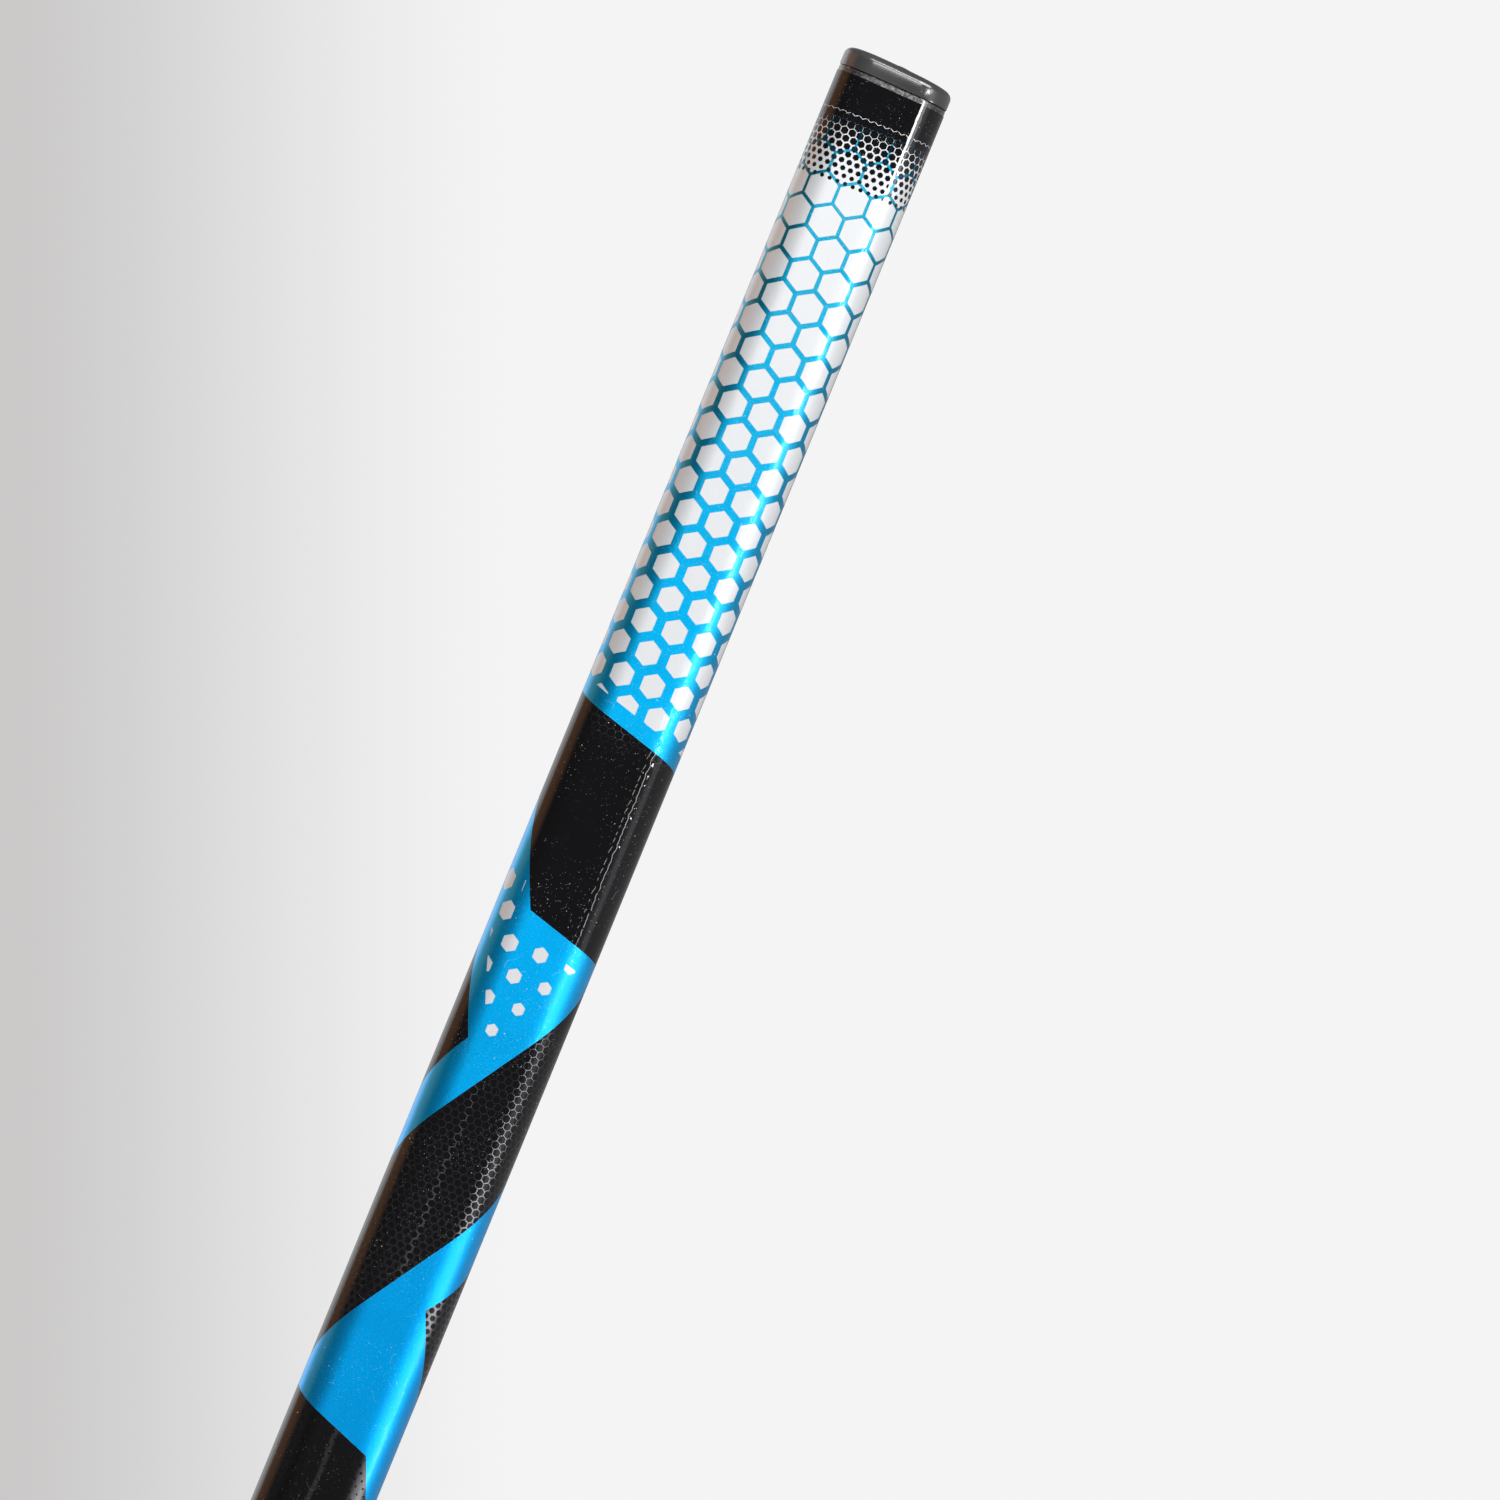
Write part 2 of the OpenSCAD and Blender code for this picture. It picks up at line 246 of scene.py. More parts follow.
# The print's own measures, in millimetres: u goes round the handle from the middle of its
# front, to the right, and s goes down the handle from the top of the cap.
FLAT_W = SHAFT_W - 2 * SHAFT_R
FLAT_D = SHAFT_D - 2 * SHAFT_R
GIRTH = (2 * (FLAT_W + FLAT_D) + 2 * math.pi * SHAFT_R) / MM
PRINT_GROWTH, PRINT_CENTRE = 1.0043, 171.0
# How soft the print's edges are
PRINT_EDGE = 0.05
# Slopes of the slanted edges: how far s goes for each millimetre of u
SHALLOW, STEEP, DOWN = 0.29, 2.205, 1.54
# Large cells: how many go round, their pitch, the distance of their rows, where one of them
# lies, and how their size shrinks down the handle
CELLS_ROUND = 10
PITCH = 8.33
ROW = 7.25
CELL_U, CELL_S = 1.35, 35.1
CELL_SIZE, CELL_SHRINK = 3.98, 0.00682
# The blue ground's end, how far before it the cells end, and how far after it the bands start
GROUND_END, CELL_GAP, BAND_GAP = 178.3, 4.4, 4.0
# Small cells, and the black dots in them: their size in the row at DOT_FROM, how it shrinks,
# how much smaller the first dots are, and where the last ones are
FINE = PITCH / 4
FINE_ROW = 1.765
FINE_U, FINE_S = 1.35, 15.91
DOT_SIZE, DOT_FROM, DOT_SHRINK = 0.90, 19.44, 0.0325
FIRST_DOTS, FIRST_DOTS_LESS, LAST_DOTS = 15.0, 0.20, 32.8
# The black end, and the strip under it
SOLID_END, STRIP_START, STRIP_END = 14.75, 15.3, 17.1
# The bands' motif, which repeats down the handle: where it starts and how long it is
MOTIF_START, MOTIF_LENGTH = 186.0, 36 * ROW
# Corners of the two blue bands as (u, s), and where their slanted edges cross u = 0
UPPER_LEFT, UPPER_NOTCH = (-5.6, 228.6), (-7.93, 263.7)
UPPER_TOP, UPPER_FOOT = 230.2, 270.9
LOWER_BITE, TAIL = (-8.0, 330.7), (8.0, 369.7)
LOWER_TOP, LOWER_FOOT = 323.7, 366.65
BITE_SLOPE, FOOT_SLOPE = 1.17, 0.38
# Small silver cells in the upper band: their shift and size, and the limits of the group
GROUP_FROM, GROUP_SHIFT = 195.0, 0.35
GROUP_SIZE, GROUP_AT, GROUP_SHRINK = 1.80, (1.1, 238.1), (0.028, 0.022)
GROUP_TOP, GROUP_LEFT, GROUP_FOOT = 235.3, -9.5, 262.5
GROUP_SIDE, GROUP_SLOPE = (-11.74, 242.8), 2.51
GROUP_ROWS = (218.0, 262.0)
# Grey lines: where they start, down and across, where they start to widen, how fast they
# narrow again, and where painted highlights brighten them
LINES_START, LINES_SIDE = 250.0, -12.5
LINES_WIDEN, LINES_NARROW = 262.0, 1.9
LINE_EDGE, LINE_GROWTH = 0.93, 0.000048
PAINTED_HIGHLIGHT_U, EDGE_PAINTED_HIGHLIGHT_U = -1.1, 9.9
# Where the clear coat ripples, along the rounded edges of the handle
CORNER_U = 7.9

# The blue darkens towards the top and brightens down the handle: painted shade near the top, where
# the studio lights are strongest, and painted light lower down, where they fall off
BLUE_TOP = (0.004, 0.258, 0.375)
BLUE_MID = (0.001, 0.425, 0.83)
BLUE_LOW = (0.001, 0.449, 0.93)
BLUE_END = (0.001, 0.438, 1.00)
BLUE_UNDER = (0.0008, 0.024, 0.046)
BLUE_FLAKE = (0.06, 0.60, 0.98)
SILVER = (0.565, 0.578, 0.592)
BLACK = (0.0040, 0.0040, 0.0045)
LINE_GREY = (0.038, 0.038, 0.040)
DUST = (0.74, 0.73, 0.70)


def honeycomb(u, s, pitch, u0, s0):
    """Distance from the nearest cell's centre, where the cell's edge is at 1, and that centre."""
    root = math.sqrt(3)
    found = []
    for shift in (0.0, 0.5):
        du = (u - (u0 + shift * pitch)).wrap(-pitch / 2, pitch / 2)
        ds = (s - (s0 + shift * pitch * root)).wrap(-pitch * root / 2, pitch * root / 2)
        reach = du.abs().max(du.abs() * 0.5 + ds.abs() * (root / 2)) / (pitch / 2)
        found.append((reach, u - du, s - ds))
    (near, near_u, near_s), (far, far_u, far_s) = found
    use = (far - near).op("GREATER_THAN", 0.0)
    return near.min(far), far_u + (near_u - far_u) * use, far_s + (near_s - far_s) * use


def stretched_honeycomb(u, s, pitch, u0, s0, row):
    """A honeycomb whose rows are row apart, instead of a regular one's distance."""
    stretch = pitch * math.sqrt(3) / 2 / row
    reach, centre_u, centre_v = honeycomb(u, (s - s0) * stretch, pitch, u0, 0.0)
    return reach, centre_u, centre_v / stretch + s0


def corner_field(u, s, u0, s0, slope_above, slope_below):
    """Positive to the left of a corner that points right, at (u0, s0), between two slopes."""
    drop = s - s0
    return (drop / slope_above).min(drop / -slope_below) - (u - u0)


def band_fields(u, s):
    """Signed fields of the two slanted blue bands."""
    left = (s - UPPER_LEFT[1]) / STEEP - (u - UPPER_LEFT[0])
    top = s - (UPPER_TOP + u * SHALLOW)
    foot = (UPPER_FOOT - u * DOWN) - s
    notch = corner_field(u, s, *UPPER_NOTCH, STEEP, DOWN)
    upper = left.max(top).min(foot).min(-notch)
    head = s - (LOWER_TOP - u * DOWN)
    bite = corner_field(-u, s, *LOWER_BITE, BITE_SLOPE, STEEP)
    tail = (s - (LOWER_FOOT + u * FOOT_SLOPE)).min((s - TAIL[1]) / STEEP - (u - TAIL[0]))
    lower = head.min(-bite).min(-tail)
    return upper, lower


class Print:
    """Where a point lies in the print, in millimetres, and how much of each ink is there."""

    def __init__(self, tree):
        uv = tree.nodes.new("ShaderNodeUVMap")
        uv.uv_map = "print"
        self.around, down, _ = split(tree, uv.outputs[0])
        self.s = (down - PRINT_CENTRE) * PRINT_GROWTH + PRINT_CENTRE
        self.where = vector(tree, self.around, self.s)
        self.u = self.around * (CELLS_ROUND * PITCH / GIRTH)
        # The bands on the front repeat on the back, mirrored so that the two meet at the sides
        side = GIRTH / 4
        self.um = (self.around + side).wrap(-2 * side, 2 * side).abs() - side
        # They repeat down the handle too
        self.sm = (self.s - MOTIF_START).wrap(0.0, MOTIF_LENGTH) + MOTIF_START
        small = stretched_honeycomb(self.u, self.s, FINE, FINE_U, FINE_S, FINE_ROW)
        self.reach, _, self.row_s = small
        self.set_blue_and_silver()
        self.set_black()
        self.set_lines()
        self.flakes = noise_num(tree, self.where, 2.8, 1.5, 0.6)
        self.blotch = noise_num(tree, self.where, 0.09, 2.0)

    def set_blue_and_silver(self):
        """Blue ground down to its slanted end, then blue bands. Silver cells lie on both."""
        ground = (GROUND_END + self.um * SHALLOW) - self.s
        upper, lower = band_fields(self.um, self.sm)
        bands = upper.max(lower).min(-ground - BAND_GAP)
        self.blue = ground.max(bands).inside(PRINT_EDGE)
        shifted = self.u + (self.s - GROUP_FROM).inside(2.0) * GROUP_SHIFT
        reach, centre_u, centre_s = stretched_honeycomb(shifted, self.s, PITCH, CELL_U, CELL_S, ROW)
        size = reach * (PITCH / 2)
        group = self.silver_group(size, centre_u, centre_s)
        self.silver = self.silver_ground(size).max(group * (-ground).inside(0.1))

    def silver_ground(self, size):
        """Large silver cells, a little smaller further down, that end before the ground does."""
        cells = (CELL_SIZE - self.s * CELL_SHRINK - size).inside(PRINT_EDGE)
        return cells * ((GROUND_END - CELL_GAP + self.um * SHALLOW) - self.s).inside(PRINT_EDGE)

    def silver_group(self, size, centre_u, centre_s):
        """Small silver cells in the upper band."""
        um, sm = self.um, self.sm
        cu = centre_u + (um - self.u)
        cs = centre_s + (sm - self.s)
        shrink = (sm - GROUP_AT[1]) * GROUP_SHRINK[1] + (um - GROUP_AT[0]) * GROUP_SHRINK[0]
        group = (GROUP_SIZE - shrink - size).inside(PRINT_EDGE)
        group = group * (sm - (GROUP_TOP + um * SHALLOW)).max(GROUP_LEFT - um).inside(PRINT_EDGE)
        side = (um - GROUP_SIDE[0]) - (sm - GROUP_SIDE[1]) / GROUP_SLOPE
        group = group * side.inside(PRINT_EDGE)
        group = group * ((GROUP_FOOT - cu * DOWN) - cs).inside(0.1)
        return group * (cs - GROUP_ROWS[0]).inside(0.1) * (GROUP_ROWS[1] - cs).inside(0.1)

    def set_black(self):
        """Solid black end, a black strip just under it, and dots that shrink down the handle."""
        size = DOT_SIZE - (self.row_s - DOT_FROM) * DOT_SHRINK
        size = size - (FIRST_DOTS - self.row_s).inside(0.1) * FIRST_DOTS_LESS
        dots = ((size - self.reach) * (FINE / 2)).inside(PRINT_EDGE)
        dots = dots * (LAST_DOTS - self.row_s).inside(0.1)
        solid = (SOLID_END - self.s).inside(0.1)
        strip = (STRIP_END - self.s).inside(0.9) * (self.s - STRIP_START).inside(0.25)
        self.black = dots.max(solid).max(strip)

    def set_lines(self):
        """Grey honeycomb lines on black, which widen, and narrow before the motif repeats."""
        left = MOTIF_START + MOTIF_LENGTH - self.sm
        self.fall = (self.sm - LINES_WIDEN).max(0.0).min(left * LINES_NARROW)
        lines = (self.reach - (LINE_EDGE - self.fall * self.fall * LINE_GROWTH)) * (FINE / 2)
        lines = lines.inside(PRINT_EDGE * 1.5) * (self.sm - LINES_START).ramp(0.0, 12.0)
        lines = lines * (1.0 - self.blue) * (self.um - LINES_SIDE).ramp(0.0, 5.0, 0.15, 1.0)
        self.lines = lines * left.ramp(0.0, 14.0)


def blue_ink(tree, at):
    """Metallic blue that gets brighter down the handle, painted shade near the top and painted
    light further down, with paler flakes and faint blotches.
    """
    gain = at.flakes.ramp(0.3, 0.7, 0.93, 1.05) * at.blotch.ramp(0.3, 0.7, 0.96, 1.03)
    gain = gain * at.s.ramp(14.0, 21.0, 0.05, 1.0)
    # Painted shade and light: the ink goes from dark near the top to bright lower down, against the
    # fall of the studio lights
    ink = mix(tree, at.s.ramp(0.0, 205.0), BLUE_TOP, BLUE_MID)
    ink = mix(tree, at.s.ramp(172.0, 236.0), ink, BLUE_LOW)
    in_motif = (at.s - MOTIF_START).inside(1.0)
    ink = mix(tree, (at.sm - 245.0).ramp(0.0, 110.0) * in_motif, ink, BLUE_END)
    return scale_colour(tree, mix(tree, at.flakes.ramp(0.6, 0.8), ink, BLUE_FLAKE), gain)


def print_colour(tree, at):
    """The inks over each other: black, blue, silver, the black end and the grey lines with painted
    highlights.
    """
    colour = mix(tree, at.blue, BLACK, blue_ink(tree, at))
    silver_ink = scale_colour(tree, SILVER, at.flakes.ramp(0.3, 0.7, 0.97, 1.02))
    colour = mix(tree, at.silver, colour, silver_ink)
    over_blue = at.blue * (1.0 - at.silver) * at.s.ramp(13.0, 27.0)
    colour = mix(tree, at.black, colour, mix(tree, over_blue, BLACK, BLUE_UNDER))
    # Painted highlights: the grey lines are brightened along a streak near the middle of the front
    # and along the rounded edge
    painted_highlight = 1.0 - (at.um - PAINTED_HIGHLIGHT_U + (at.blotch - 0.5) * 1.5).abs().ramp(0.2, 1.0)
    edge_painted_highlight = 1.0 - (at.um - EDGE_PAINTED_HIGHLIGHT_U).abs().ramp(0.6, 2.9)
    shade = (painted_highlight * 2.6 + edge_painted_highlight * 5.0 + 1.0) * at.fall.ramp(55.0, 105.0, 1.0, 0.55)
    return mix(tree, at.lines, colour, scale_colour(tree, LINE_GREY, shade))


def dust_on(tree, where):
    """Specks of dust on the clear coat, thicker in patches, and a few fine hairs."""
    patch = noise_num(tree, where, 0.07, 3.0).ramp(0.40, 0.60)
    dust = speckle(tree, where, scale=2.4, radius=0.26, share=0.30) * patch * 0.40
    larger = speckle(tree, where, scale=1.1, radius=0.15, share=0.15)
    dust = dust.max(larger * patch * 0.8)
    dust = dust.max(speckle(tree, where, scale=0.30, radius=0.055, share=0.35))
    hair = (noise_num(tree, where, 0.16, 0.5) - 0.5).abs()
    hair = (0.0018 - hair).inside(0.002) * noise_num(tree, where, 0.13, 1.0).ramp(0.64, 0.68)
    return dust.max(hair * 0.35)


def coat_normal(tree, at, plain_blue, dust):
    """The coat is wavy along the handle's rounded edges and nearly flat between them."""
    corner = at.um.abs() - CORNER_U
    near_corner = 1.0 - corner.abs().ramp(0.9, 2.4)
    sway = noise_num(tree, vector(tree, 0.0, at.s * 0.55), 1.0, 0.6, 0.4) - 0.5
    wave = noise_num(tree, vector(tree, at.around * 0.35, at.s * 0.30), 1.0, 1.0, 0.5) - 0.5
    sparkle = noise_num(tree, at.where, 1.7, 1.0) - 0.5
    height = corner * sway * near_corner * at.s.ramp(20.0, 165.0, 0.4, 1.0)
    height = height + wave * 0.12 + sparkle * plain_blue * 0.8
    return bump(tree, height + dust * 0.05, 0.10 * MM)


def printed_skin_material():
    """Printed film under a glossy clear coat."""
    made, tree, shader = material("printed_skin")
    at = Print(tree)
    dust = dust_on(tree, at.where)
    colour = mix(tree, dust * 0.6, print_colour(tree, at), DUST)
    shine = (at.blue * 0.95).min(1.0 - at.silver * 0.68) * (1.0 - at.black)
    rough = 0.43 + (at.flakes - 0.5) * 0.12 - at.lines * 0.10
    plain_blue = at.blue * (1.0 - at.silver) * (1.0 - at.black)
    plug(tree, colour, shader.inputs["Base Color"])
    plug(tree, shine.max(at.lines) * (1.0 - dust), shader.inputs["Metallic"])
    plug(tree, rough, shader.inputs["Roughness"])
    plug(tree, bump(tree, at.flakes, 0.014 * MM), shader.inputs["Normal"])
    plug(tree, 1.0 - plain_blue * 0.4, shader.inputs["Coat Weight"])
    plug(tree, coat_normal(tree, at, plain_blue, dust), shader.inputs["Coat Normal"])
    shader.inputs["Specular IOR Level"].default_value = 0.0
    shader.inputs["Coat Roughness"].default_value = 0.04
    shader.inputs["Coat IOR"].default_value = 1.5
    return made


# ---------------------------------------- other materials

def moulded(name, colour, roughness=0.42, grain=0.012, wear=0.25, polish=0.0):
    """Satin moulded plastic with a fine grain, slight mottle and paler worn edges.

    A polished one keeps a matt top.
    """
    made, tree, shader = material(name)
    where = object_coords(tree)
    mottle = noise_num(tree, where, 60.0, 4.0)
    fine = noise_num(tree, where, 2600.0, 2.0)
    scuffs = noise_num(tree, where, 240.0, 3.0)
    dark = tuple(c * 0.85 for c in colour)
    light = tuple(c * 1.25 for c in colour)
    worn = tuple(min(1.0, c * 2.2 + 0.02) for c in colour)
    base = mix(tree, mottle.ramp(0.35, 0.7), dark, light)
    base = mix(tree, edge_wear(tree) * wear, base, worn)
    rough = roughness + (mottle - 0.5) * 0.18 + (fine - 0.5) * 0.08
    if polish:
        _, _, upward = split(tree, tree.nodes.new("ShaderNodeTexCoord").outputs["Normal"])
        matt = upward.ramp(0.95, 0.985)
        rough = rough + matt * 0.35
        plug(tree, (1.0 - matt) * polish, shader.inputs["Coat Weight"])
    plug(tree, base, shader.inputs["Base Color"])
    plug(tree, rough, shader.inputs["Roughness"])
    plug(tree, bump(tree, fine + scuffs * 0.5, grain * MM), shader.inputs["Normal"])
    shader.inputs["Coat Roughness"].default_value = 0.16
    shader.inputs["Coat IOR"].default_value = 1.65
    return made


def metal(name, colour, roughness):
    """Satin metal with a fine grain and slight stains."""
    made, tree, shader = material(name)
    where = object_coords(tree)
    grain = noise_num(tree, where, 900.0, 3.0)
    stain = noise_num(tree, where, 160.0, 3.0)
    base = mix(tree, stain.ramp(0.3, 0.75), tuple(c * 0.82 for c in colour), colour)
    plug(tree, base, shader.inputs["Base Color"])
    plug(tree, roughness + (grain - 0.5) * 0.2, shader.inputs["Roughness"])
    plug(tree, bump(tree, grain, 0.004 * MM), shader.inputs["Normal"])
    shader.inputs["Metallic"].default_value = 1.0
    return made


def composite_tube_material():
    """Dark fibre composite under clear resin: a fine twill, and a paler sawn upper end."""
    made, tree, shader = material("composite_tube")
    where = object_coords(tree)
    x, _, z = split(tree, where)
    tow = 1.6 * MM
    warp = ((x + z) / tow).op("FRACT")
    weft = ((x - z) / tow).op("FRACT")
    over = (warp - weft).inside(0.15)
    base = mix(tree, over, (0.010, 0.010, 0.011), (0.030, 0.030, 0.033))
    worn = noise_num(tree, where, 1500.0, 3.0).ramp(0.35, 0.75, 0.05, 0.22)
    raw_edge = (z - (TUBE_HIGH.z - 3.0 * MM)).inside(0.2 * MM)
    raw_edge = raw_edge * x.abs().ramp(6.0 * MM, 11.0 * MM, 1.0, 0.25)
    base = mix(tree, raw_edge, base, vector(tree, worn, worn, worn))
    plug(tree, base, shader.inputs["Base Color"])
    plug(tree, over * 0.12 + 0.34, shader.inputs["Roughness"])
    plug(tree, bump(tree, over, 0.02 * MM), shader.inputs["Normal"])
    shader.inputs["Metallic"].default_value = 0.4
    shader.inputs["Coat Weight"].default_value = 0.8
    shader.inputs["Coat Roughness"].default_value = 0.08
    return made


def rubber_material():
    """Matt black rubber with a dusty bloom."""
    made, tree, shader = material("seal_rubber")
    where = object_coords(tree)
    dusty = noise_num(tree, where, 500.0, 4.0)
    base = mix(tree, dusty.ramp(0.45, 0.8), (0.012, 0.012, 0.013), (0.045, 0.044, 0.042))
    plug(tree, base, shader.inputs["Base Color"])
    plug(tree, dusty * 0.2 + 0.65, shader.inputs["Roughness"])
    plug(tree, bump(tree, dusty, 0.03 * MM), shader.inputs["Normal"])
    return made


def weave(tree, where, thread):
    """Height of a plain weave, on x and on y + z."""
    x, y, z = split(tree, where)
    turn = 2 * math.pi / thread
    return (x * turn).op("SINE") * ((y + z) * turn).op("SINE")


def fabric(name, colour, shade, thread=0.9 * MM, sheen=0.35):
    """Tight woven nylon: thread relief, painted shade in the weave's hollows under lighter crowns,
    soft sheen and slight soiling.
    """
    made, tree, shader = material(name)
    where = object_coords(tree)
    relief = weave(tree, where, thread)
    fibre = noise_num(tree, where, 3500.0, 2.0)
    soil = noise_num(tree, where, 28.0, 4.0).ramp(0.5, 0.8)
    # Painted shade: the colour goes to shade in the weave's hollows and to colour on its crowns,
    # with some random fibre tone
    base = mix(tree, (relief * 0.5 + 0.5) * 0.7 + fibre * 0.3, shade, colour)
    base = mix(tree, soil * 0.25, base, tuple(c * 0.5 for c in colour))
    plug(tree, base, shader.inputs["Base Color"])
    plug(tree, 0.62 + (fibre - 0.5) * 0.2, shader.inputs["Roughness"])
    plug(tree, bump(tree, relief + fibre * 0.5, 0.07 * MM), shader.inputs["Normal"])
    shader.inputs["Sheen Weight"].default_value = sheen
    shader.inputs["Sheen Roughness"].default_value = 0.4
    return made


# ---------------------------------------- mesh helpers

def section(width, depth, radius, arc_steps=20, flat_steps=6):
    """Points of a flat-sided section from the middle of its back round to there again:
    (x, y, length along the outline from the middle of the front, outward angle)."""
    fx, fy = width / 2 - radius, depth / 2 - radius
    right_front = []
    for i in range(flat_steps):
        right_front.append((fx * i / flat_steps, -depth / 2, fx * i / flat_steps, -math.pi / 2))
    for i in range(arc_steps):
        a = math.pi / 2 * i / arc_steps
        right_front.append((fx + radius * math.sin(a), -fy - radius * math.cos(a),
                            fx + radius * a, a - math.pi / 2))
    start = fx + radius * math.pi / 2
    right_front.append((width / 2, -fy, start, 0.0))
    if fy > NOTHING:
        right_front.append((width / 2, 0.0, start + fy, 0.0))
    half_girth = 2 * (start + fy)
    right_back = [(x, -y, half_girth - u, -a) for x, y, u, a in reversed(right_front[:-1])]
    right = right_front + right_back
    left = [(-x, y, -u, math.pi - a) for x, y, u, a in reversed(right[1:])]
    return left + right


def new_object(name, data):
    made = bpy.data.objects.new(name, data)
    bpy.context.scene.collection.objects.link(made)
    return made


def object_from(bm, name):
    """Object with the finished mesh, which is freed."""
    mesh = bpy.data.meshes.new(name)
    bm.to_mesh(mesh)
    bm.free()
    return new_object(name, mesh)


def inset_ring(ring, inset, z):
    """Points round a section, moved in from it, at one height."""
    return [(x - inset * math.cos(a), y - inset * math.sin(a), z) for x, y, _, a in ring]


def bridge(bm, rings):
    """Joins each ring of vertices to the next one and closes both ends."""
    for low, high in zip(rings, rings[1:]):
        for i in range(len(low)):
            j = (i + 1) % len(low)
            bm.faces.new((low[i], low[j], high[j], high[i]))
    bm.faces.new(list(reversed(rings[0])))
    bm.faces.new(rings[-1])


def finish_piece(obj, mat, body, smooth_angle=None):
    """Gives a piece its material, smooth shading, body and material slot."""
    obj.data.materials.clear()
    obj.data.materials.append(mat)
    obj.data.shade_smooth()
    if smooth_angle is not None:
        obj.data.set_sharp_from_angle(angle=math.radians(smooth_angle))
    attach(obj, body)


def apply_modifiers(obj):
    """Bakes an object's modifiers into its mesh."""
    graph = bpy.context.evaluated_depsgraph_get()
    mesh = bpy.data.meshes.new_from_object(obj.evaluated_get(graph))
    obj.modifiers.clear()
    old = obj.data
    obj.data = mesh
    bpy.data.meshes.remove(old)


# ---------------------------------------- handle pieces

def skin_section(name, z_low, z_high):
    """Closed thin shell round the handle whose UV map holds its place in the print."""
    ring = section(SHAFT_W, SHAFT_D, SHAFT_R)
    bm = bmesh.new()
    print_uv = bm.loops.layers.uv.new("print")
    levels = [z_low + (z_high - z_low) * i / SKIN_ROWS for i in range(SKIN_ROWS + 1)]

    def loop_of(level, inset):
        slant = END_SLANT if level > SKIN_HIGH.z - MM else 0.0
        return [bm.verts.new((x - inset * math.cos(a), y - inset * math.sin(a), level - x * slant))
                for x, y, _, a in ring[:-1]]

    def wall(low, high, flip=False):
        for i in range(len(low)):
            j = (i + 1) % len(low)
            corners = [(low[i], i), (low[j], i + 1), (high[j], i + 1), (high[i], i)]
            if flip:
                corners.reverse()
            face = bm.faces.new([vert for vert, _ in corners])
            for loop, (_, k) in zip(face.loops, corners):
                loop[print_uv].uv = (ring[k][2] / MM, (TOP_Z - loop.vert.co.z) / MM)

    outer = [loop_of(z, 0.0) for z in levels]
    inner = [loop_of(z, SKIN_T - TUBE_GAP) for z in levels]
    for k in range(SKIN_ROWS):
        wall(outer[k], outer[k + 1])
        wall(inner[k], inner[k + 1], flip=True)
    wall(inner[0], outer[0])
    wall(outer[-1], inner[-1])
    return object_from(bm, name)


def cut_screw_holes(obj):
    """Round holes through the skin for the two handle screws."""
    low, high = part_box("handle_screws")
    clearance = 0.3 * MM
    bpy.ops.mesh.primitive_cylinder_add(
        vertices=48, radius=(high.x - low.x) / 2 + clearance, depth=SHAFT_D * 2,
        location=(0, 0, (low.z + high.z) / 2), rotation=(math.pi / 2, 0, 0))
    cutter = bpy.context.object
    cut = obj.modifiers.new("holes", "BOOLEAN")
    cut.object = cutter
    cut.operation = "DIFFERENCE"
    cut.solver = "EXACT"
    apply_modifiers(obj)
    bpy.data.objects.remove(cutter)


def build_skin(mat):
    """The printed skin in lengths that meet edge to edge, so that each keeps a fine print."""
    step = (SKIN_HIGH.z - SKIN_LOW.z) / SKIN_LENGTHS
    for k in range(SKIN_LENGTHS):
        z_low = SKIN_LOW.z + k * step
        piece = skin_section(f"printed_skin_{k + 1}", z_low, z_low + step)
        if k == 0:
            cut_screw_holes(piece)
        finish_piece(piece, mat, HANDLE, 35)
        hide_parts("printed_skin")


def build_tube(mat):
    """The tube as it is in the CAD, but for its slanted upper end."""
    tube = new_object("shaft_tube_body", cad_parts["shaft_tube"].data.copy())
    for vertex in tube.data.vertices:
        if vertex.co.z > TUBE_HIGH.z - 0.1 * MM:
            vertex.co.z -= vertex.co.x * END_SLANT
    finish_piece(tube, mat, HANDLE, 35)
    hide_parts("shaft_tube")


def cap_point(x, y, z):
    """A point of the cap's flange, moved to where the slanted and crowned flange has it."""
    share = (z - CAP_FOOT) / (TOP_Z - CAP_FOOT)
    drop = x * (END_SLANT + CAP_SLANT * share)
    drop += share * (0.04 * MM + 0.25 * MM * (x / (12 * MM)) ** 2)
    return x, y, z - drop


def cap_profile():
    """(inset, z) from the foot of the stem out to the flange and in over its rounded edge."""
    stem_in = 1.8 * MM
    edge = 2.0 * MM
    crown = 0.12 * MM
    profile = [(6.0 * MM, CAP_LOW.z), (stem_in, CAP_LOW.z), (stem_in, CAP_FOOT),
               (0.45 * MM, CAP_FOOT), (0.12 * MM, CAP_FOOT + 0.10 * MM),
               (0.0, CAP_FOOT + 0.45 * MM)]
    steps = 10
    for i in range(steps + 1):
        a = math.pi / 2 * i / steps
        profile.append((edge * (1 - math.cos(a)), TOP_Z - crown - edge * (1 - math.sin(a))))
    for k in range(1, 4):
        profile.append((edge + k * 1.6 * MM, TOP_Z - crown * (1 - k / 3.0)))
    return profile


def build_cap_body(mat):
    """Butt cap: flange with a rounded top edge and a shallow crown, and the stem."""
    ring = section(SHAFT_W, SHAFT_D, SHAFT_R, arc_steps=16, flat_steps=4)[:-1]
    bm = bmesh.new()
    rings = []
    for inset, z in cap_profile():
        spots = inset_ring(ring, inset, z)
        if z > TUBE_HIGH.z:
            spots = [cap_point(*spot) for spot in spots]
        rings.append([bm.verts.new(spot) for spot in spots])
    bridge(bm, rings)
    bmesh.ops.recalc_face_normals(bm, faces=bm.faces)
    cap = object_from(bm, "butt_cap_body")
    finish_piece(cap, mat, HANDLE, 50)
    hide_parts("butt_cap")


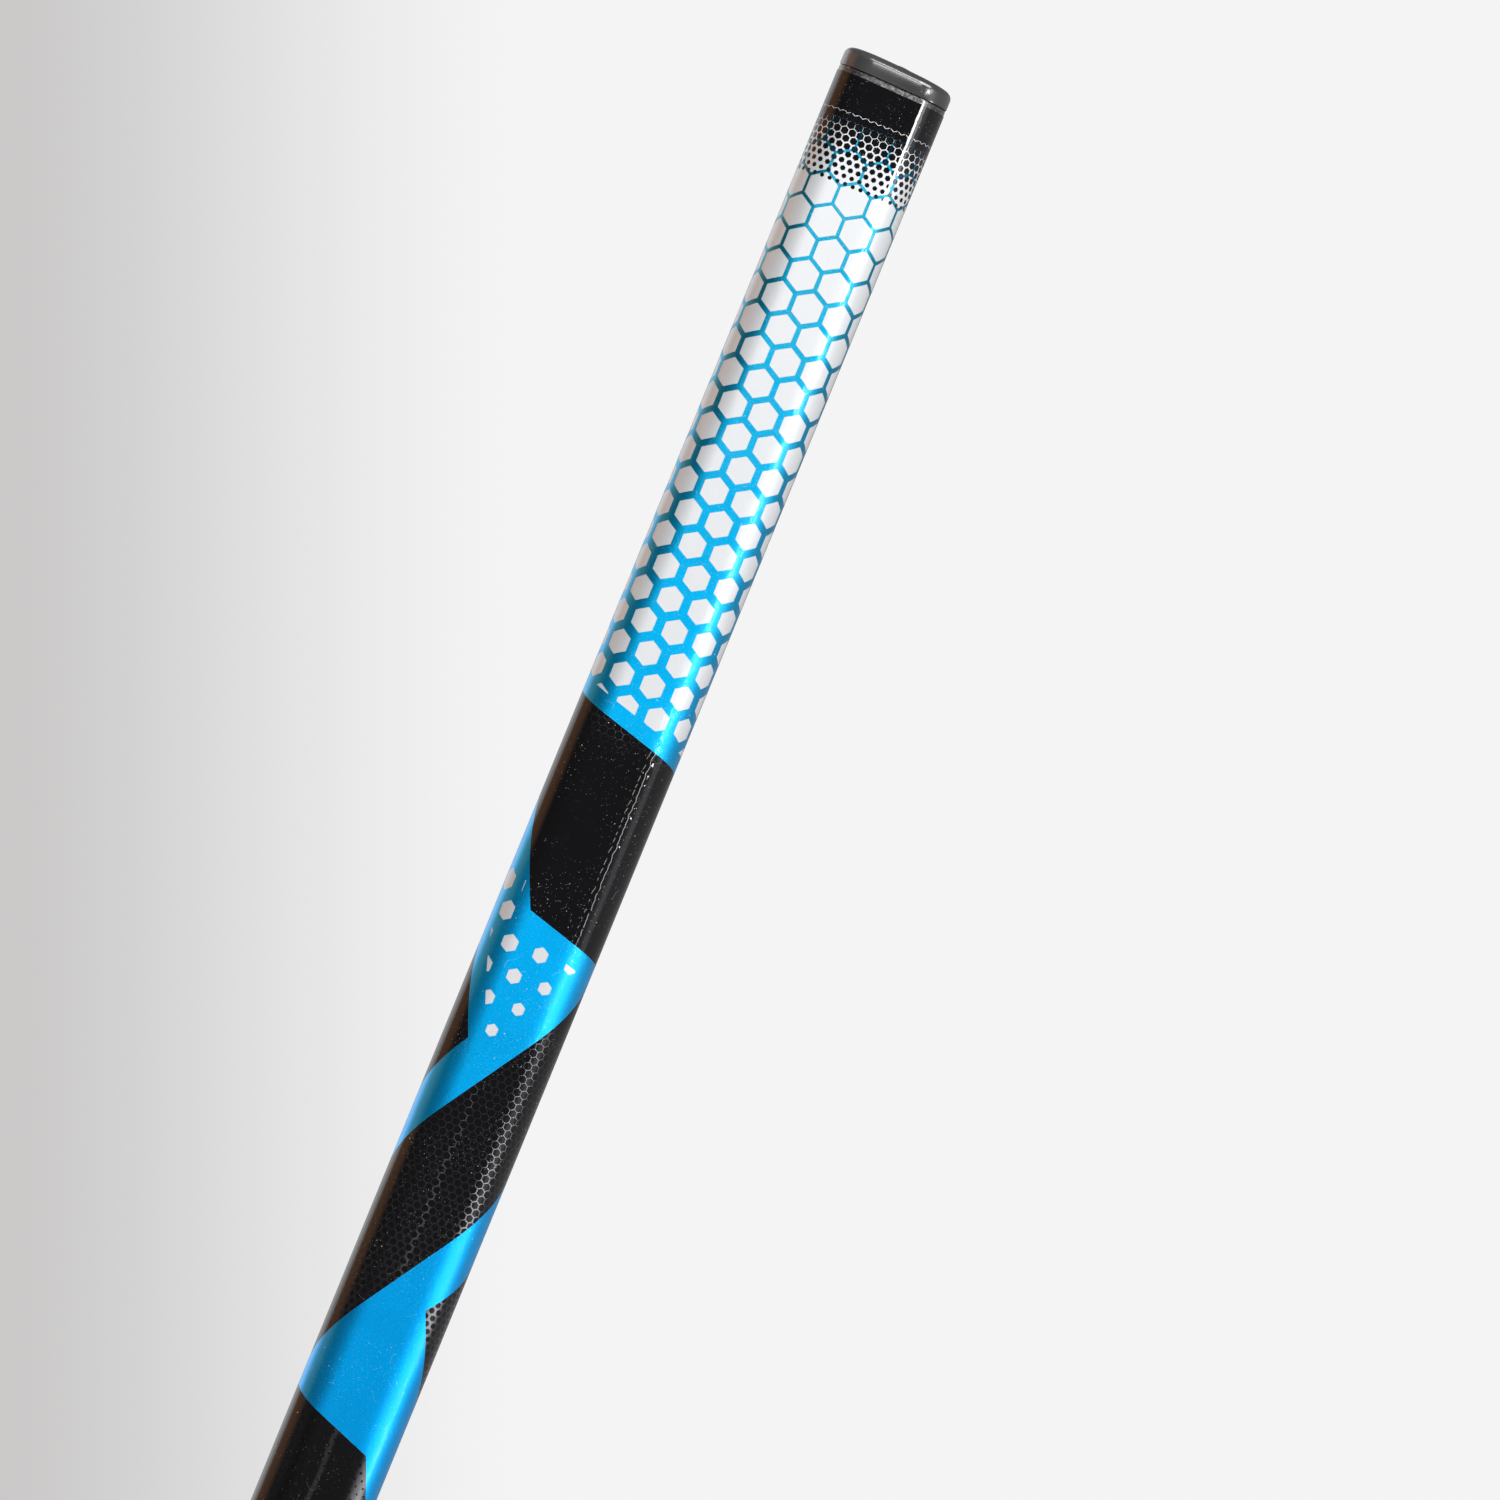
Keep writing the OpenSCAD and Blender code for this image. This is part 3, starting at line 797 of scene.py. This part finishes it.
def build_cap_gate(mat):
    """Round gate mark on the cap's top: a low rim round a hollow."""
    radius = 1.8 * MM
    middle = 0.7 * MM
    sides = 40
    turns = [2 * math.pi * i / sides for i in range(sides)]
    profile = [(radius, -0.3 * MM), (radius, 0.24 * MM), (radius - 0.12 * MM, 0.40 * MM),
               (radius - 0.35 * MM, 0.46 * MM), (radius * 0.45, 0.26 * MM),
               (radius * 0.3, 0.16 * MM)]
    bm = bmesh.new()
    rings = []
    for r, rise in profile:
        rings.append([bm.verts.new(cap_point(middle + r * math.cos(turn), r * math.sin(turn),
                                             TOP_Z + rise)) for turn in turns])
    bridge(bm, rings)
    finish_piece(object_from(bm, "butt_cap_gate"), mat, HANDLE, 40)


def soften(node, name, voxel, passes, mat, body):
    """Copy of a CAD node with its edges rounded off, as a moulding has them."""
    copy = new_object(name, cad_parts[node].data.copy())
    remesh = copy.modifiers.new("remesh", "REMESH")
    remesh.mode = "VOXEL"
    remesh.voxel_size = voxel
    smooth = copy.modifiers.new("smooth", "SMOOTH")
    smooth.factor = 0.5
    smooth.iterations = passes
    apply_modifiers(copy)
    finish_piece(copy, mat, body)
    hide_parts(node)


# ---------------------------------------- pad

def clamped(share):
    """0 below 0, 1 above 1 and the number itself between them."""
    return min(1.0, max(0.0, share))


def pad_outline(step):
    """Evenly spaced points round the pad's outline: (x, y, outward angle)."""
    points = []
    for k in range(4):
        turn = k * math.pi / 2
        sx = 1 if k in (0, 3) else -1
        sy = 1 if k in (0, 1) else -1
        bends = round(PAD_CORNER * math.pi / 2 / step)
        for i in range(bends):
            a = turn + math.pi / 2 * i / bends
            points.append((sx * PAD_FLAT_X + PAD_CORNER * math.cos(a),
                           sy * PAD_FLAT_Y + PAD_CORNER * math.sin(a), a))
        a = turn + math.pi / 2
        length = 2 * (PAD_FLAT_X if k % 2 == 0 else PAD_FLAT_Y)
        run = Vector((-math.sin(a), math.cos(a)))
        start = Vector((sx * PAD_FLAT_X + PAD_CORNER * math.cos(a),
                        sy * PAD_FLAT_Y + PAD_CORNER * math.sin(a)))
        count = round(length / step)
        for i in range(count):
            spot = start + run * (length * i / count)
            points.append((spot.x, spot.y, a))
    return points


def swell(obj, pressure, limit):
    """Blows a closed form up as cloth, with no point moving further than limit(point)."""
    rest = [v.co.copy() for v in obj.data.vertices]
    cloth = obj.modifiers.new("cloth", "CLOTH")
    cloth.settings.use_pressure = True
    cloth.settings.uniform_pressure_force = pressure
    cloth.settings.effector_weights.gravity = 0.0
    cloth.settings.quality = 6
    cloth.point_cache.frame_end = CLOTH_FRAMES
    for number in range(1, CLOTH_FRAMES + 1):
        bpy.context.scene.frame_set(number)
    graph = bpy.context.evaluated_depsgraph_get()
    moved = [v.co.copy() for v in obj.evaluated_get(graph).data.vertices]
    obj.modifiers.clear()
    bpy.context.scene.frame_set(1)
    for vertex, old, new in zip(obj.data.vertices, rest, moved):
        step = new - old
        most = limit(old)
        if step.length > most:
            step *= most / step.length
        vertex.co = old + step


def past_flats(point):
    """How far a point lies past the ends of the pad's straight sides, in x and in y."""
    return abs(point.x) - PAD_FLAT_X, abs(point.y) - PAD_FLAT_Y


def pad_edge(point):
    """Distance of a point inside the pad's outline, and the way straight out from there."""
    dx, dy = past_flats(point)
    if dx > 0 and dy > 0:
        away = Vector((dx, dy, 0))
    elif dx > dy:
        away = Vector((1, 0, 0)) * max(dx, NOTHING)
    else:
        away = Vector((0, 1, 0)) * max(dy, NOTHING)
    inside = PAD_CORNER - (away.length if dx > 0 or dy > 0 else max(dx, dy))
    out = away.normalized()
    out.x *= math.copysign(1, point.x)
    out.y *= math.copysign(1, point.y)
    return inside, out


def hug_plate(point):
    """Moves a point of the cloth so that it lies tight over the side and edge of the plate."""
    share = clamped((point.z - 6.5 * MM) / (3.5 * MM))
    if share == 0.0:
        return point
    inside, out = pad_edge(point)
    bend, proud = 1.6 * MM, 0.40 * MM
    core_in, core_z = bend - proud, CLOTH_TOP - bend
    deep = inside > core_in and point.z < core_z
    near_in = core_in if deep else max(inside, core_in)
    near_z = point.z if deep else min(point.z, core_z)
    step = Vector((inside - near_in, point.z - near_z))
    if deep or step.length < NOTHING:
        step = Vector((-1.0, 0.0))
    step = step.normalized() * bend
    goal_in, goal_z = near_in + step.x, near_z + step.y
    return point + out * (inside - goal_in) * share + Vector((0, 0, (goal_z - point.z) * share))


def pad_pleats(point):
    """How far the cloth is gathered into small pleats round the pad's corners."""
    dx, dy = past_flats(point)
    if dx <= 0 or dy <= 0:
        return 0.0
    a = math.atan2(dy, dx)
    height = clamped((point.z - 4 * MM) / (5 * MM))
    height *= clamped((PLATE_HIGH.z - 1 * MM - point.z) / (4 * MM))
    return 0.35 * MM * math.sin(a * 28) * math.sin(2 * a) * height


def cover_profile():
    """(inset, z) of the cover before it swells, from under the foam to the top of the plate."""
    foot = 0.2 * MM
    side, bend = 1.4 * MM, 4.5 * MM
    plate_side, plate_bend = 0.3 * MM, 2.4 * MM
    profile = [(20 * MM, foot), (12 * MM, foot), (side + bend, foot)]
    for i in range(1, 7):
        a = math.pi / 2 * i / 6
        profile.append((side + bend * (1 - math.sin(a)), foot + bend * (1 - math.cos(a))))
    profile += [(side, 7 * MM), (side, 8.5 * MM), (plate_side, 11 * MM)]
    for i in range(0, 6):
        a = math.pi / 2 * i / 5
        profile.append((plate_side + plate_bend * (1 - math.cos(a)),
                        CLOTH_TOP - plate_bend * (1 - math.sin(a))))
    return profile + [(9 * MM, CLOTH_TOP), (15 * MM, CLOTH_TOP)]


def settle_cloth(vertex):
    """Moves a point of the swollen cloth to where it lies on the plate, creased and uneven."""
    vertex.co = hug_plate(vertex.co)
    co = vertex.co
    out = Vector((co.x / PAD_HIGH.x, co.y / PAD_HIGH.y, 0)).normalized()
    uneven = (noise.noise(co * 45) + 0.5 * noise.noise(co * 110)) * 0.16 * MM
    co += out * (pad_pleats(co) + uneven)
    co.z = max(0.0, min(co.z, CLOTH_TOP))


def build_pad_cover(mat):
    """Cloth pulled round the foam: blown up as cloth, flat on the floor and under the shell."""
    ring = section(PAD_HIGH.x - PAD_LOW.x, PAD_HIGH.y - PAD_LOW.y, PAD_CORNER,
                   arc_steps=14, flat_steps=22)[:-1]
    bm = bmesh.new()
    bridge(bm, [[bm.verts.new(spot) for spot in inset_ring(ring, inset, z)]
                for inset, z in cover_profile()])
    bmesh.ops.recalc_face_normals(bm, faces=bm.faces)
    cover = object_from(bm, "pad_cover_cloth")
    remesh = cover.modifiers.new("remesh", "REMESH")
    remesh.mode = "VOXEL"
    remesh.voxel_size = 4 * MM
    apply_modifiers(cover)
    swell(cover, 4.0, lambda p: 1.8 * MM if 2 * MM < p.z < 15 * MM else 0.9 * MM)
    divide = cover.modifiers.new("divide", "SUBSURF")
    divide.levels = 2
    divide.render_levels = 2
    apply_modifiers(cover)
    for vertex in cover.data.vertices:
        settle_cloth(vertex)
    finish_piece(cover, mat, HEAD)
    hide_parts("pad_cover", "pad_foam")
    return cover


def surface_finder(obj):
    """Function that finds where the side of a piece lies, at a point of its outline."""
    tree = BVHTree.FromObject(obj, bpy.context.evaluated_depsgraph_get())

    def find(x, y, a, z):
        out = Vector((math.cos(a), math.sin(a), 0))
        start = Vector((x, y, z)) + out * 12 * MM
        hit, _, _, _ = tree.ray_cast(start, -out)
        return hit, out

    return find


def build_binding(find, mat):
    """Binding sewn round the top of the pad's side, pressed against the cloth."""
    # Its section: share of its height, and millimetres out of the cloth
    across = [(0.0, -0.35), (0.02, 0.10), (0.10, 0.26), (0.5, 0.34), (0.90, 0.26),
              (0.98, 0.10), (1.0, -0.35)]
    bm = bmesh.new()
    strips = []
    for x, y, a in pad_outline(1.2 * MM):
        strip = []
        for share, out_mm in across:
            hit, out = find(x, y, a, BINDING_LOW + (BINDING_HIGH - BINDING_LOW) * share)
            strip.append(bm.verts.new(hit + out * out_mm * MM))
        strips.append(strip)
    for here, there in zip(strips, strips[1:] + strips[:1]):
        for k in range(len(across)):
            m = (k + 1) % len(across)
            bm.faces.new((here[k], there[k], there[m], here[m]))
    bmesh.ops.recalc_face_normals(bm, faces=bm.faces)
    finish_piece(object_from(bm, "pad_cover_binding"), mat, HEAD, 60)


def build_stitches(find, mat):
    """Two rows of stitches through the binding."""
    bm = bmesh.new()
    for z in (BINDING_LOW + 0.8 * MM, BINDING_HIGH - 0.8 * MM):
        for x, y, a in pad_outline(2.8 * MM):
            hit, out = find(x, y, a, z)
            along = Vector((-out.y, out.x, 0))
            stitch(bm, hit + out * 0.40 * MM, along, out, 2.0 * MM, 0.25 * MM)
    finish_piece(object_from(bm, "pad_cover_stitches"), mat, HEAD, 60)


def stitch(bm, centre, along, out, length, radius):
    """One stitch: a short thread that dips into the cloth at both ends."""
    side = along.cross(out)
    turns = [math.pi / 3 * k for k in range(6)]
    rings = []
    for k in range(5):
        t = k / 4 * 2 - 1
        middle = centre + along * (t * length / 2) - out * (t * t * radius * 1.6)
        size = radius * (1 - 0.5 * t * t)
        rings.append([bm.verts.new(middle + out * size * math.cos(b) + side * size * math.sin(b))
                      for b in turns])
    bridge(bm, rings)


# ---------------------------------------- studio

# The camera's roll, distance, lens and aim
LEAN = math.radians(22.3)
CAMERA_AWAY = 2.35
CAMERA_LENS = 226.8
LOOK_AT = Vector((29.65 * MM, 0.0, TOP_Z - 171.0 * MM))

# Upright bands of the surroundings: from and to, in degrees from -Y towards +X, how soft their
# edges are, and their colour. Later ones lie over earlier ones.
ROOM_BANDS = (
    (-125, -78, 17, (0.74, 0.37, 0.20)),
    (38, 165, 12, (0.34, 0.34, 0.35)),
    (50, 68, 9, (1.05, 1.06, 1.10)),
    (-152, -117, 8, (1.25, 1.25, 1.27)),
    (-181, -152, 8, (0.75, 0.75, 0.75)),
)
ROOM_DARK = (0.05, 0.05, 0.055)
ROOM_PLAIN = (0.20, 0.20, 0.205)
LIGHTS_AWAY = 2.0
FLOOR_RADIUS = 2.0
FLOOR_FADE = (0.5, 1.85)


def build_camera():
    """Level camera in front of the upper part of the handle, rolled by its lean."""
    data = bpy.data.cameras.new("camera")
    data.lens = CAMERA_LENS
    data.sensor_width = 36
    data.clip_end = 60
    camera = new_object("camera", data)
    right = Vector((math.cos(LEAN), 0, math.sin(LEAN)))
    up = Vector((-math.sin(LEAN), 0, math.cos(LEAN)))
    back = Vector((0, -1, 0))
    turn = Matrix((right, up, back)).transposed().to_4x4()
    camera.matrix_world = Matrix.Translation(LOOK_AT + back * CAMERA_AWAY) @ turn
    bpy.context.scene.camera = camera


def direction_mask(angle, low, high, soft):
    """1 where a horizontal angle, measured from -Y towards +X, lies between two values."""
    return (angle - low).inside(soft) * (high - angle).inside(soft)


def room_colour(tree, x, y, z):
    """What lights the object and shows in its gloss: upright bands, with a plain zenith."""
    angle = x.op("ARCTAN2", -y) * (180 / math.pi)
    room = ROOM_DARK
    for low, high, soft, colour in ROOM_BANDS:
        room = mix(tree, direction_mask(angle, low, high, soft), room, colour)
    level = 1.0 - z.abs().ramp(0.22, 0.5)
    return mix(tree, level, ROOM_PLAIN, room)


def build_world():
    """Surroundings: one look for the camera, and another for light and reflections."""
    world = bpy.data.worlds.new("studio")
    world.use_nodes = True
    tree = world.node_tree
    bpy.context.scene.world = world
    coords = tree.nodes.new("ShaderNodeTexCoord")
    x, y, z = split(tree, coords.outputs["Generated"])
    lighting = tree.nodes["Background"]
    plug(tree, room_colour(tree, x, y, z), lighting.inputs["Color"])

    # Behind the object: pale, with painted shade that makes it a little darker on the left
    across = x * math.cos(LEAN) + z * math.sin(LEAN)
    pale = mix(tree, across.ramp(-0.085, -0.02), (0.585, 0.575, 0.572), (0.905, 0.905, 0.915))
    seen = tree.nodes.new("ShaderNodeBackground")
    plug(tree, pale, seen.inputs["Color"])

    path = tree.nodes.new("ShaderNodeLightPath")
    choose = tree.nodes.new("ShaderNodeMixShader")
    tree.links.new(path.outputs["Is Camera Ray"], choose.inputs[0])
    tree.links.new(lighting.outputs[0], choose.inputs[1])
    tree.links.new(seen.outputs[0], choose.inputs[2])
    tree.links.new(choose.outputs[0], tree.nodes["World Output"].inputs["Surface"])


def area_light(name, place, aim, width, height, power, in_gloss=True):
    """Rectangular light that the camera doesn't see."""
    data = bpy.data.lights.new(name, "AREA")
    data.shape = "RECTANGLE"
    data.size = width
    data.size_y = height
    data.energy = power
    light = new_object(name, data)
    light.location = place
    direction = Vector(aim) - Vector(place)
    light.rotation_euler = direction.to_track_quat("-Z", "Y").to_euler()
    light.visible_camera = False
    light.visible_glossy = in_gloss


def at_angle(azimuth, z):
    """Where a light stands, at an angle from -Y towards +X round the handle."""
    a = math.radians(azimuth)
    return Vector((LIGHTS_AWAY * math.sin(a), -LIGHTS_AWAY * math.cos(a), z))


def reflected(s_mm):
    """Height of what the handle mirrors to the camera at s_mm below its top."""
    z = TOP_Z - s_mm * MM
    return z + (z - LOOK_AT.z) * LIGHTS_AWAY / CAMERA_AWAY


def strip_light(name, azimuth, s_from, s_to, width, radiance):
    """Tall strip whose reflection runs down the handle between two places on it."""
    high, low = reflected(s_from), reflected(s_to)
    place = at_angle(azimuth, (high + low) / 2)
    power = radiance * math.pi * width * (high - low)
    area_light(name, place, (0, 0, place.z), width, high - low, power)


def build_lights():
    """Strips that show in the handle's rounded edge, glows beside them, and soft light."""
    middle = LOOK_AT.z
    handle = (0, 0, middle)
    strip_light("strip_a", azimuth=18.5, s_from=118, s_to=208, width=0.07, radiance=7)
    strip_light("strip_b", azimuth=34.0, s_from=118, s_to=238, width=0.075, radiance=10)
    strip_light("strip_upper", azimuth=41.0, s_from=-15, s_to=132, width=0.27, radiance=31)
    area_light("soft_key", (0.90, -1.60, middle + 1.5), (0, 0, middle - 0.1),
               width=1.4, height=1.2, power=46)
    area_light("glow_high", at_angle(50, TOP_Z + 0.27), handle,
               width=0.30, height=0.5, power=2.2)
    area_light("glow_low", at_angle(68, TOP_Z - 0.92), handle,
               width=0.36, height=0.5, power=9)
    area_light("front_soft", at_angle(-2, TOP_Z + 0.52), handle,
               width=1.0, height=0.5, power=12)
    area_light("high_front", (-0.14, -1.50, middle + 1.38), handle,
               width=1.35, height=0.22, power=14)
    area_light("back_soft", (-0.8, 2.2, 1.8), (0, 0, 0.6),
               width=1.8, height=1.8, power=36, in_gloss=False)
    area_light("low_fill", (-0.5, -1.9, 0.35), (0, 0, 0.05),
               width=0.9, height=0.3, power=6, in_gloss=False)


def build_floor():
    """Pale floor that fades out into the pale surroundings."""
    bpy.ops.mesh.primitive_circle_add(vertices=96, radius=FLOOR_RADIUS, fill_type="NGON",
                                      location=(0, 0, 0))
    floor = bpy.context.object
    floor.name = "floor"
    made, tree, shader = material("floor")
    where = object_coords(tree)
    x, y, _ = split(tree, where)
    away = (x * x + y * y).op("SQRT")
    grain = noise_num(tree, where, 40.0, 4.0)
    base = mix(tree, grain, (0.60, 0.60, 0.60), (0.64, 0.64, 0.64))
    plug(tree, base, shader.inputs["Base Color"])
    plug(tree, away.ramp(*FLOOR_FADE, 1.0, 0.0), shader.inputs["Alpha"])
    shader.inputs["Roughness"].default_value = 0.75
    floor.data.materials.append(made)


# ---------------------------------------- put together

build_camera()
skin_mat = printed_skin_material()
cap_mat = moulded("cap_plastic", (0.036, 0.036, 0.037), roughness=0.22, grain=0.003, wear=0.0,
                   polish=0.6)
ferrule_mat = moulded("ferrule_plastic", (0.020, 0.021, 0.023), roughness=0.45)
head_mat = moulded("head_plastic", (0.022, 0.023, 0.026), roughness=0.48)
plate_mat = moulded("plate_plastic", (0.09, 0.095, 0.10), roughness=0.55)
acetal_mat = moulded("bushing_plastic", (0.72, 0.70, 0.62), roughness=0.35, wear=0.0)
nylon_mat = moulded("lock_nylon", (0.03, 0.14, 0.55), roughness=0.35, wear=0.0)
steel_mat = metal("fastener_steel", (0.62, 0.62, 0.63), 0.26)
brass_mat = metal("insert_brass", (0.72, 0.52, 0.22), 0.3)
rubber_mat = rubber_material()
tube_mat = composite_tube_material()
cover_mat = fabric("pad_fabric", (0.03, 0.40, 0.80), (0.01, 0.20, 0.50))
binding_mat = fabric("pad_binding", (0.020, 0.021, 0.024), (0.008, 0.008, 0.010), 0.7 * MM,
                     sheen=0.06)
thread_mat = fabric("pad_thread", (0.62, 0.64, 0.66), (0.40, 0.42, 0.44), 0.3 * MM)

CAD_LOOKS = (
    (steel_mat, ("handle_screws", "pivot_sleeve", "pivot_bolt", "bolt_washers", "pivot_nut",
                 "pad_screws")),
    (brass_mat, ("plate_inserts",)),
    (acetal_mat, ("bushing_left", "bushing_right")),
    (nylon_mat, ("locknut_ring",)),
    (rubber_mat, ("ferrule_gasket", "friction_washers", "shell_gasket")),
)
for mat, nodes in CAD_LOOKS:
    for node in nodes:
        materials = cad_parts[node].data.materials
        materials.clear()
        materials.append(mat)

build_tube(tube_mat)
build_skin(skin_mat)
build_cap_body(cap_mat)
build_cap_gate(cap_mat)
soften("ferrule", "ferrule_body", 0.5 * MM, 5, ferrule_mat, HANDLE)
soften("head_shell", "head_shell_body", 0.5 * MM, 6, head_mat, HEAD)
soften("pad_plate", "pad_plate_body", 1.0 * MM, 4, plate_mat, HEAD)
cover = build_pad_cover(cover_mat)
find_side = surface_finder(cover)
build_binding(find_side, binding_mat)
build_stitches(find_side, thread_mat)

build_world()
build_lights()
build_floor()
bpy.context.scene.view_settings.view_transform = "Standard"
